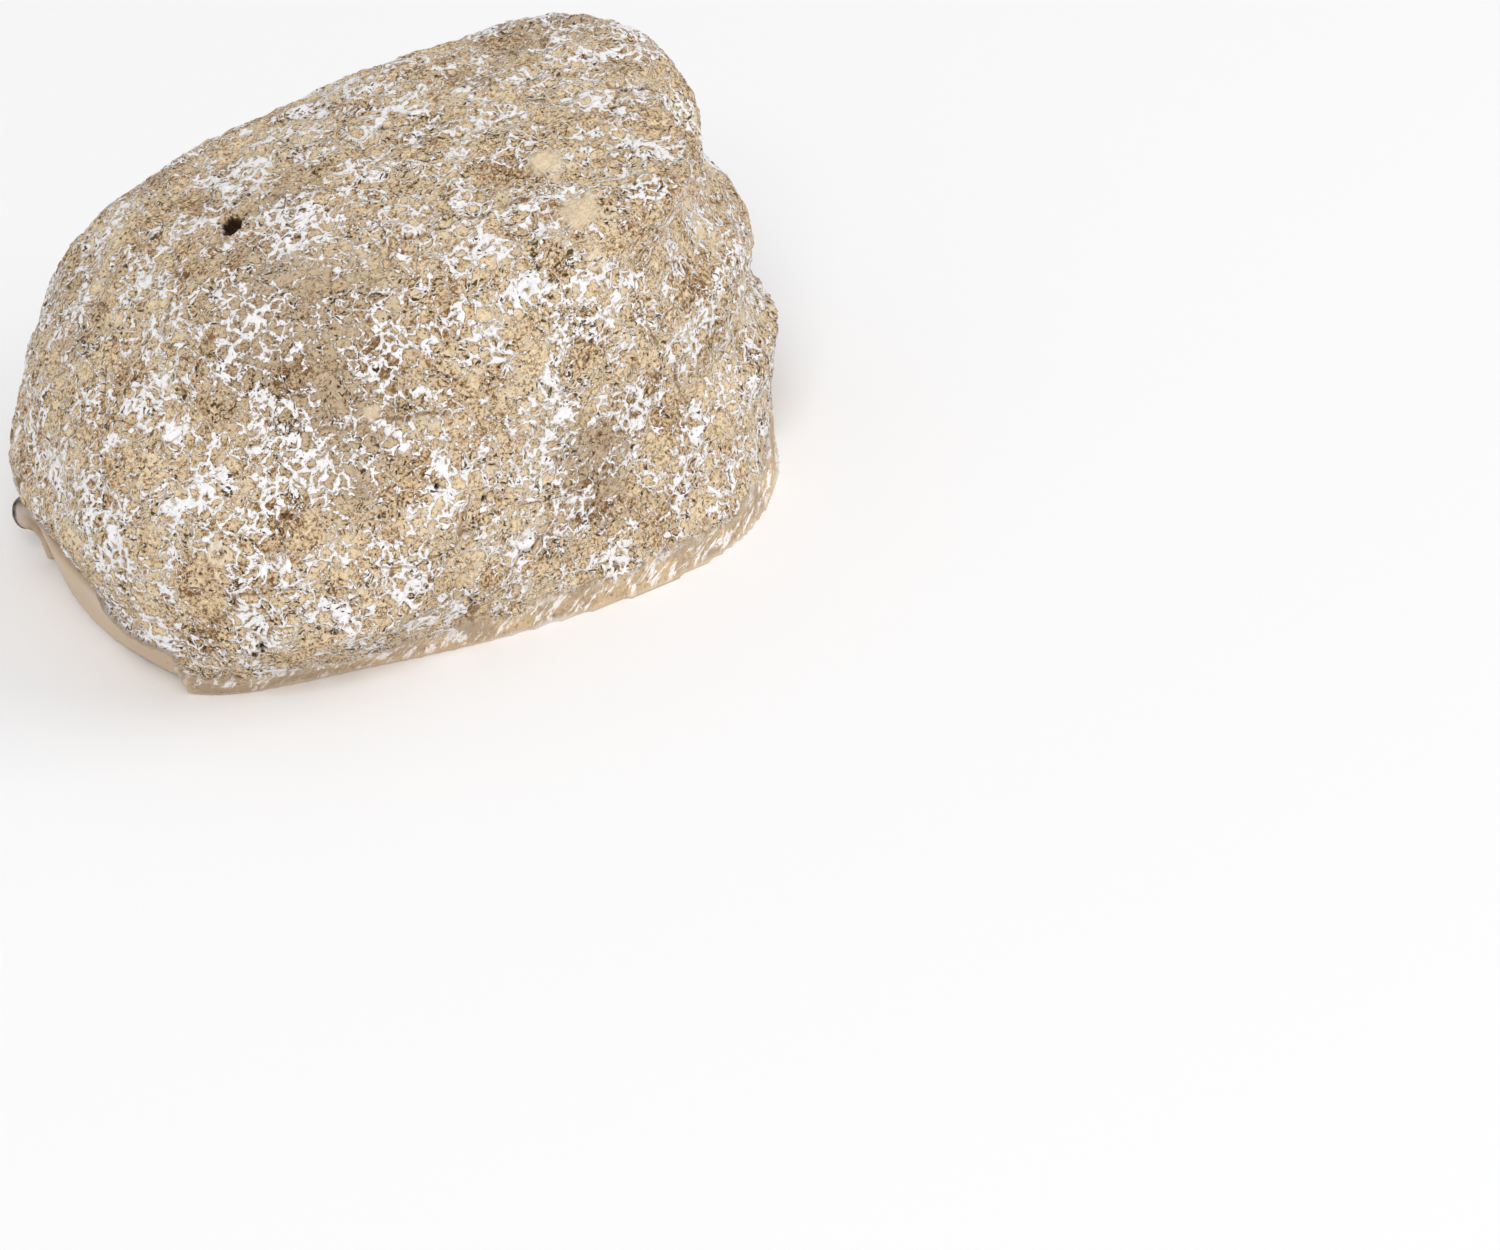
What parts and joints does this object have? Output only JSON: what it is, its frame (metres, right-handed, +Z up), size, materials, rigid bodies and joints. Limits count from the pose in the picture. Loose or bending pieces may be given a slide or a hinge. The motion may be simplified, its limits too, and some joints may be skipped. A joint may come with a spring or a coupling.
{
  "type": "hide-a-key rock",
  "caption": "Cast resin stone with a flat base; a dovetail lid slides out of the base and uncovers a compartment for a house key.",
  "frame": {"origin": "middle of the stone's bounding box, on the flat base it stands on", "axes": "+Z up from the base, +X along the length, the way the lid slides out, +Y towards the side with the bulging lobe"},
  "size_m": [0.1047, 0.0735, 0.0536],
  "materials": {
    "stone_skin": "rough pitted cast resin, tan with white dry brushing",
    "smooth_resin": "smooth matte poured resin, cream with pale clouds"
  },
  "bodies": {
    "rock": {"rock_body": "stone_skin"},
    "lid": {"sliding_lid": "smooth_resin"}
  },
  "joints": [
    {"name": "lid_slide", "type": "slide", "parent": "rock", "child": "lid", "axis": [1, 0, 0], "range_m": [0, 0.078]}
  ]
}
